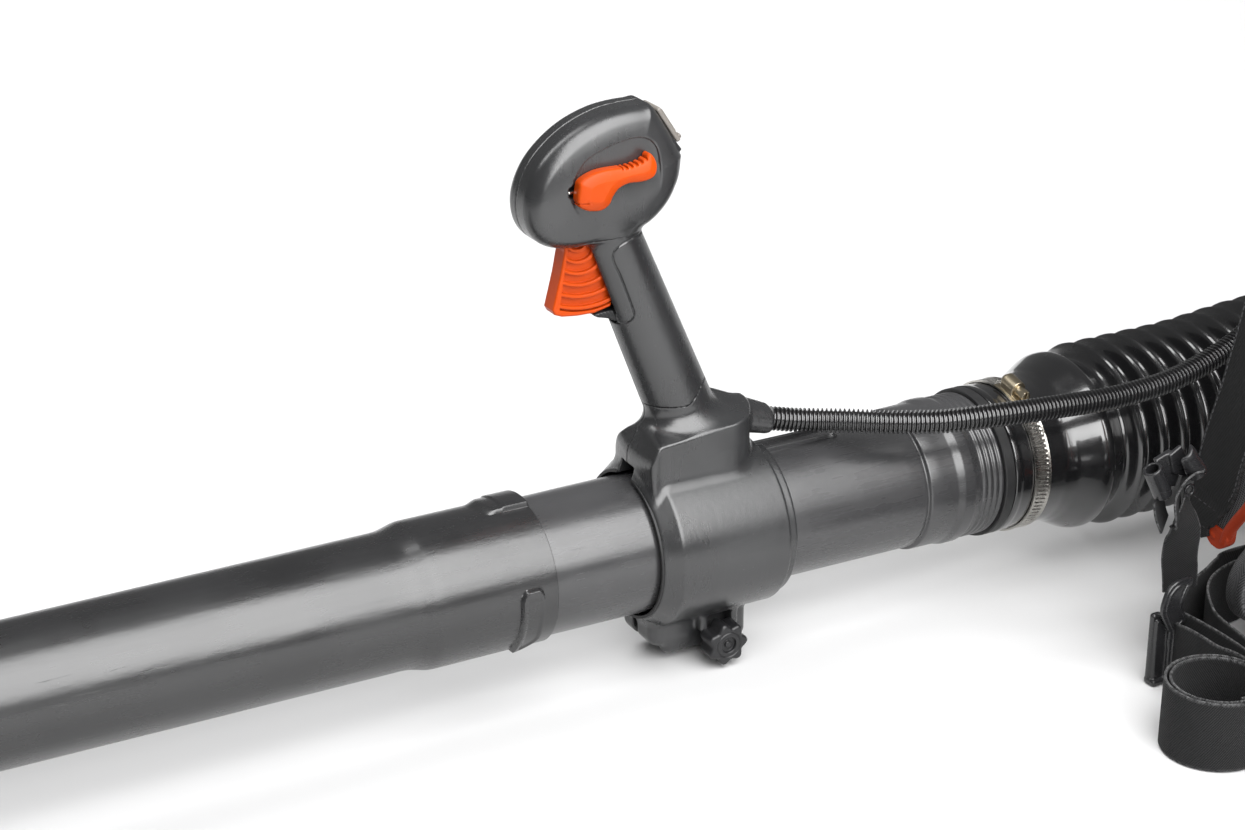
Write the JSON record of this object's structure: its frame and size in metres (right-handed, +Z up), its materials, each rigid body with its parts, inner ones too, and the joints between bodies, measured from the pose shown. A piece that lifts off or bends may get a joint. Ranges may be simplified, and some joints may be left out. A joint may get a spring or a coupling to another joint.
{
  "type": "backpack leaf blower",
  "caption": "Backpack leaf blower: engine and fan on a harnessed frame, with a ribbed hose, jointed blower tubes and a pistol handle.",
  "frame": {"origin": "middle of the base tray's underside, on the ground", "axes": "+Z up; +X from the nozzle towards the engine, so the wearer faces -X and +Y is the wearer's right"},
  "size_m": [1.555, 0.4945, 0.47],
  "materials": {
    "tube_grey": "satin blow-moulded dark grey",
    "tube_black": "satin blow-moulded near black",
    "shell_grey": "fine-textured moulded dark grey",
    "orange": "semi-gloss orange",
    "black_rubber": "glossy moulded black",
    "black_plastic": "satin black",
    "steel": "brushed, slightly warm",
    "cast_metal": "as cast",
    "webbing": "black twill webbing",
    "mesh_fabric": "grey spacer mesh with orange binding",
    "tank_white": "translucent natural"
  },
  "bodies": {
    "pack": {"clamp_band_rear": "steel", "clamp_screw_rear": "steel", "elbow": "tube_grey", "back_frame": "black_plastic", "base_tray": "black_plastic", "isolator_1": "black_rubber", "isolator_2": "black_rubber", "isolator_3": "black_rubber", "fan_housing_front": "shell_grey", "fan_housing_rear": "shell_grey", "outlet_adapter": "tube_grey", "inlet_screen": "black_plastic", "crankcase": "cast_metal", "cylinder": "cast_metal", "spark_plug": "steel", "starter_housing": "shell_grey", "muffler": "cast_metal", "muffler_guard": "black_plastic", "carburetor": "cast_metal", "air_filter": "mesh_fabric", "filter_cover": "shell_grey", "fuel_tank": "tank_white", "engine_cover": "orange", "back_pad": "mesh_fabric", "shoulder_strap_right": "mesh_fabric", "hip_pad_right": "mesh_fabric", "shoulder_strap_left": "mesh_fabric", "hip_pad_left": "mesh_fabric", "belt_roll": "webbing", "belt_webbing_right": "webbing", "belt_slider": "black_plastic", "belt_webbing_left": "webbing", "belt_buckle": "black_plastic"},
    "rotor": {"impeller": "black_plastic", "crankshaft": "steel", "flywheel": "cast_metal"},
    "fuel_cap": {"fuel_cap": "orange"},
    "starter": {"starter_handle": "black_plastic", "starter_rope": "webbing"},
    "filter_knob": {"filter_knob": "orange"},
    "choke": {"choke_lever": "orange"},
    "primer": {"primer_bulb": "tank_white"},
    "hose": {"bellows_hose": "black_rubber"},
    "wand": {"rear_tube": "tube_grey", "gasket_ring": "black_rubber", "clamp_band_front": "steel", "clamp_screw_front": "steel"},
    "front_tube": {"front_tube": "tube_black"},
    "nozzle": {"nozzle": "tube_black"},
    "handle": {"handle_shell_left": "shell_grey", "handle_shell_right": "shell_grey", "clamp_bolt": "steel", "trigger_pin": "steel", "trigger_spring": "steel", "throttle_conduit": "black_plastic"},
    "clamp_knob": {"clamp_knob": "black_plastic"},
    "trigger": {"throttle_trigger": "orange"},
    "lock_button": {"lock_button": "black_plastic"},
    "cruise_lever": {"cruise_lever": "orange"},
    "stop_switch": {"stop_switch": "steel"}
  },
  "joints": [
    {"name": "hose_pitch", "type": "hinge", "parent": "pack", "child": "hose", "pos_m": [-0.09, 0.25, 0.086], "axis": [0, 1, 0], "range_deg": [-20, 25], "deforming": ["bellows_hose", "throttle_conduit"]},
    {"name": "hose_yaw", "type": "hinge", "parent": "hose", "child": "wand", "pos_m": [-0.18, 0.25, 0.082], "axis": [0, 0, 1], "range_deg": [-20, 20]},
    {"name": "front_tube_twist", "type": "hinge", "parent": "wand", "child": "front_tube", "pos_m": [-0.69, 0.25, 0.082], "axis": [1, 0, 0], "range_deg": [0, 35]},
    {"name": "nozzle_twist", "type": "hinge", "parent": "front_tube", "child": "nozzle", "pos_m": [-1.15, 0.25, 0.082], "axis": [1, 0, 0], "range_deg": [0, 35]},
    {"name": "handle_slide", "type": "slide", "parent": "wand", "child": "handle", "axis": [1, 0, 0], "range_m": [-0.05, 0.05]},
    {"name": "clamp_knob_turn", "type": "hinge", "parent": "handle", "child": "clamp_knob", "pos_m": [-0.54, 0.212, 0.017], "axis": [0, -1, 0], "range_deg": [0, 360]},
    {"name": "trigger_squeeze", "type": "hinge", "parent": "handle", "child": "trigger", "pos_m": [-0.628, 0.25, 0.314], "axis": [0, -1, 0], "range_deg": [0, 10], "stiffness_Nm_per_rad": 0.3},
    {"name": "lock_button_press", "type": "slide", "parent": "handle", "child": "lock_button", "axis": [0.927, 0, -0.375], "range_m": [0, 0.003], "stiffness_N_per_m": 100},
    {"name": "cruise_lever_turn", "type": "hinge", "parent": "handle", "child": "cruise_lever", "pos_m": [-0.627, 0.226, 0.328], "axis": [0, -1, 0], "range_deg": [0, 40]},
    {"name": "stop_switch_slide", "type": "slide", "parent": "handle", "child": "stop_switch", "axis": [0.5486, 0, -0.8361], "range_m": [0, 0.004]},
    {"name": "crank_spin", "type": "hinge", "parent": "pack", "child": "rotor", "pos_m": [0.06, 0, 0.235], "axis": [1, 0, 0], "continuous": true},
    {"name": "fuel_cap_turn", "type": "hinge", "parent": "pack", "child": "fuel_cap", "pos_m": [0.15, -0.118, 0.126], "axis": [0, 0, 1], "range_deg": [0, 180]},
    {"name": "starter_pull", "type": "slide", "parent": "pack", "child": "starter", "axis": [0, -1, 0], "range_m": [0, 0.085], "stiffness_N_per_m": 60},
    {"name": "filter_knob_turn", "type": "hinge", "parent": "pack", "child": "filter_knob", "pos_m": [0.098, 0.13, 0.34], "axis": [0, 1, 0], "range_deg": [0, 180]},
    {"name": "choke_turn", "type": "hinge", "parent": "pack", "child": "choke", "pos_m": [0.145, 0.088, 0.304], "axis": [1, 0, 0], "range_deg": [-60, 0]},
    {"name": "primer_press", "type": "slide", "parent": "pack", "child": "primer", "axis": [0, 0, 1], "range_m": [0, 0.003], "stiffness_N_per_m": 100}
  ]
}
